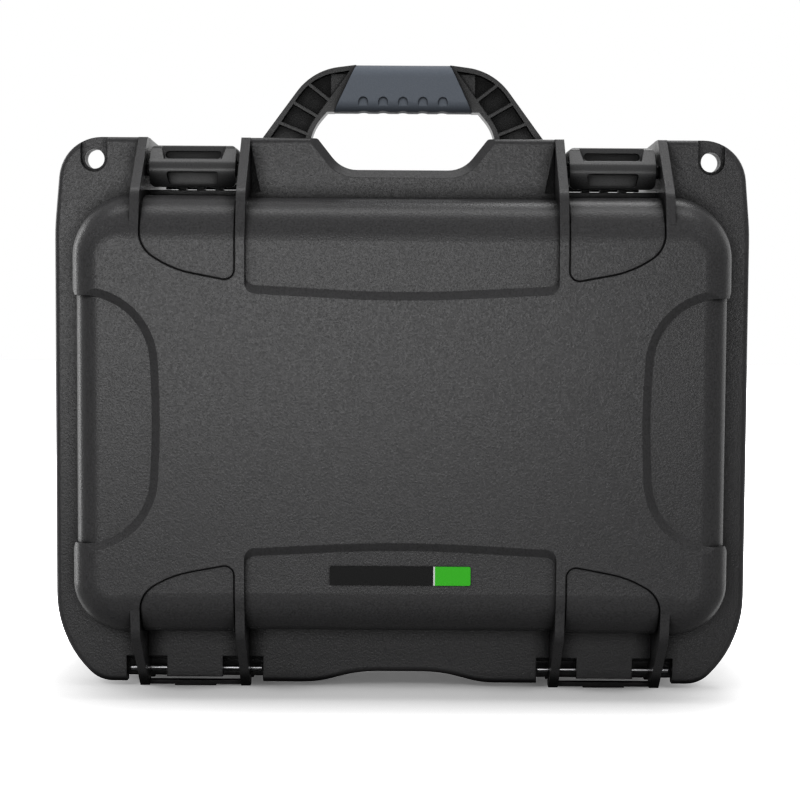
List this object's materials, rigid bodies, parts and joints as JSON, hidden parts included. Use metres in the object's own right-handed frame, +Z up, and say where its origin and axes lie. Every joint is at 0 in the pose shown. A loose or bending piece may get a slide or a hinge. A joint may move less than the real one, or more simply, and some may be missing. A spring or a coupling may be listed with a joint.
{
  "type": "hard case",
  "caption": "Moulded protective hard case with a hinged lid, over-centre draw latches with lock slides, a folding handle with a soft grip, padlock holes and a pressure valve.",
  "frame": {"origin": "middle of the case's box, on the surface that it stands on, with the hinge side down", "axes": "+X across the lid to the right as the lid is faced, +Y from the lid to the base's back, +Z up to the handle"},
  "size_m": [0.402, 0.173, 0.3647],
  "materials": {
    "shell": "fine-grained moulded polypropylene, graphite",
    "latch": "satin moulded plastic, black",
    "handle": "satin moulded plastic, black",
    "grip": "soft moulded rubber, slate blue grey",
    "seal": "matte black rubber",
    "valve": "matte moulded plastic, black",
    "steel": "drawn stainless rod"
  },
  "bodies": {
    "base": {"base_shell": "shell", "valve_housing": "valve", "valve_cap": "valve", "valve_seal": "seal", "valve_nut": "valve", "hinge_pin_left": "steel", "hinge_pin_right": "steel", "lever_pin_left": "steel", "lever_pin_right": "steel", "handle_pin_left": "steel", "handle_pin_right": "steel"},
    "lid": {"lid_shell": "shell", "lid_seal": "seal"},
    "handle": {"handle_frame": "handle", "handle_grip": "grip"},
    "lever_left": {"latch_lever_left": "latch", "claw_pin_left": "steel"},
    "claw_left": {"latch_claw_left": "latch"},
    "lock_left": {"lock_slide_left": "latch"},
    "lever_right": {"latch_lever_right": "latch", "claw_pin_right": "steel"},
    "claw_right": {"latch_claw_right": "latch"},
    "lock_right": {"lock_slide_right": "latch"}
  },
  "joints": [
    {"name": "lid_hinge", "type": "hinge", "parent": "base", "child": "lid", "pos_m": [0, -0.0355, 0.0093], "axis": [1, 0, 0], "range_deg": [0, 105]},
    {"name": "handle_fold", "type": "hinge", "parent": "base", "child": "handle", "pos_m": [0, -0.0095, 0.301], "axis": [-1, 0, 0], "range_deg": [0, 90]},
    {"name": "lever_left_lift", "type": "hinge", "parent": "base", "child": "lever_left", "pos_m": [-0.12, -0.0055, 0.303], "axis": [1, 0, 0], "range_deg": [0, 90]},
    {"name": "claw_left_tip", "type": "hinge", "parent": "lever_left", "child": "claw_left", "pos_m": [-0.12, 0.0085, 0.299], "axis": [1, 0, 0], "range_deg": [-99, 0]},
    {"name": "lock_left_slide", "type": "slide", "parent": "lever_left", "child": "lock_left", "axis": [-1, 0, 0], "range_m": [0, 0.006]},
    {"name": "lever_right_lift", "type": "hinge", "parent": "base", "child": "lever_right", "pos_m": [0.12, -0.0055, 0.303], "axis": [1, 0, 0], "range_deg": [0, 90]},
    {"name": "claw_right_tip", "type": "hinge", "parent": "lever_right", "child": "claw_right", "pos_m": [0.12, 0.0085, 0.299], "axis": [1, 0, 0], "range_deg": [-99, 0]},
    {"name": "lock_right_slide", "type": "slide", "parent": "lever_right", "child": "lock_right", "axis": [1, 0, 0], "range_m": [0, 0.006]}
  ],
  "couplings": [
    {"joint": "claw_left_tip", "follows": "lever_left_lift", "ratio": -1.1},
    {"joint": "claw_right_tip", "follows": "lever_right_lift", "ratio": -1.1}
  ]
}
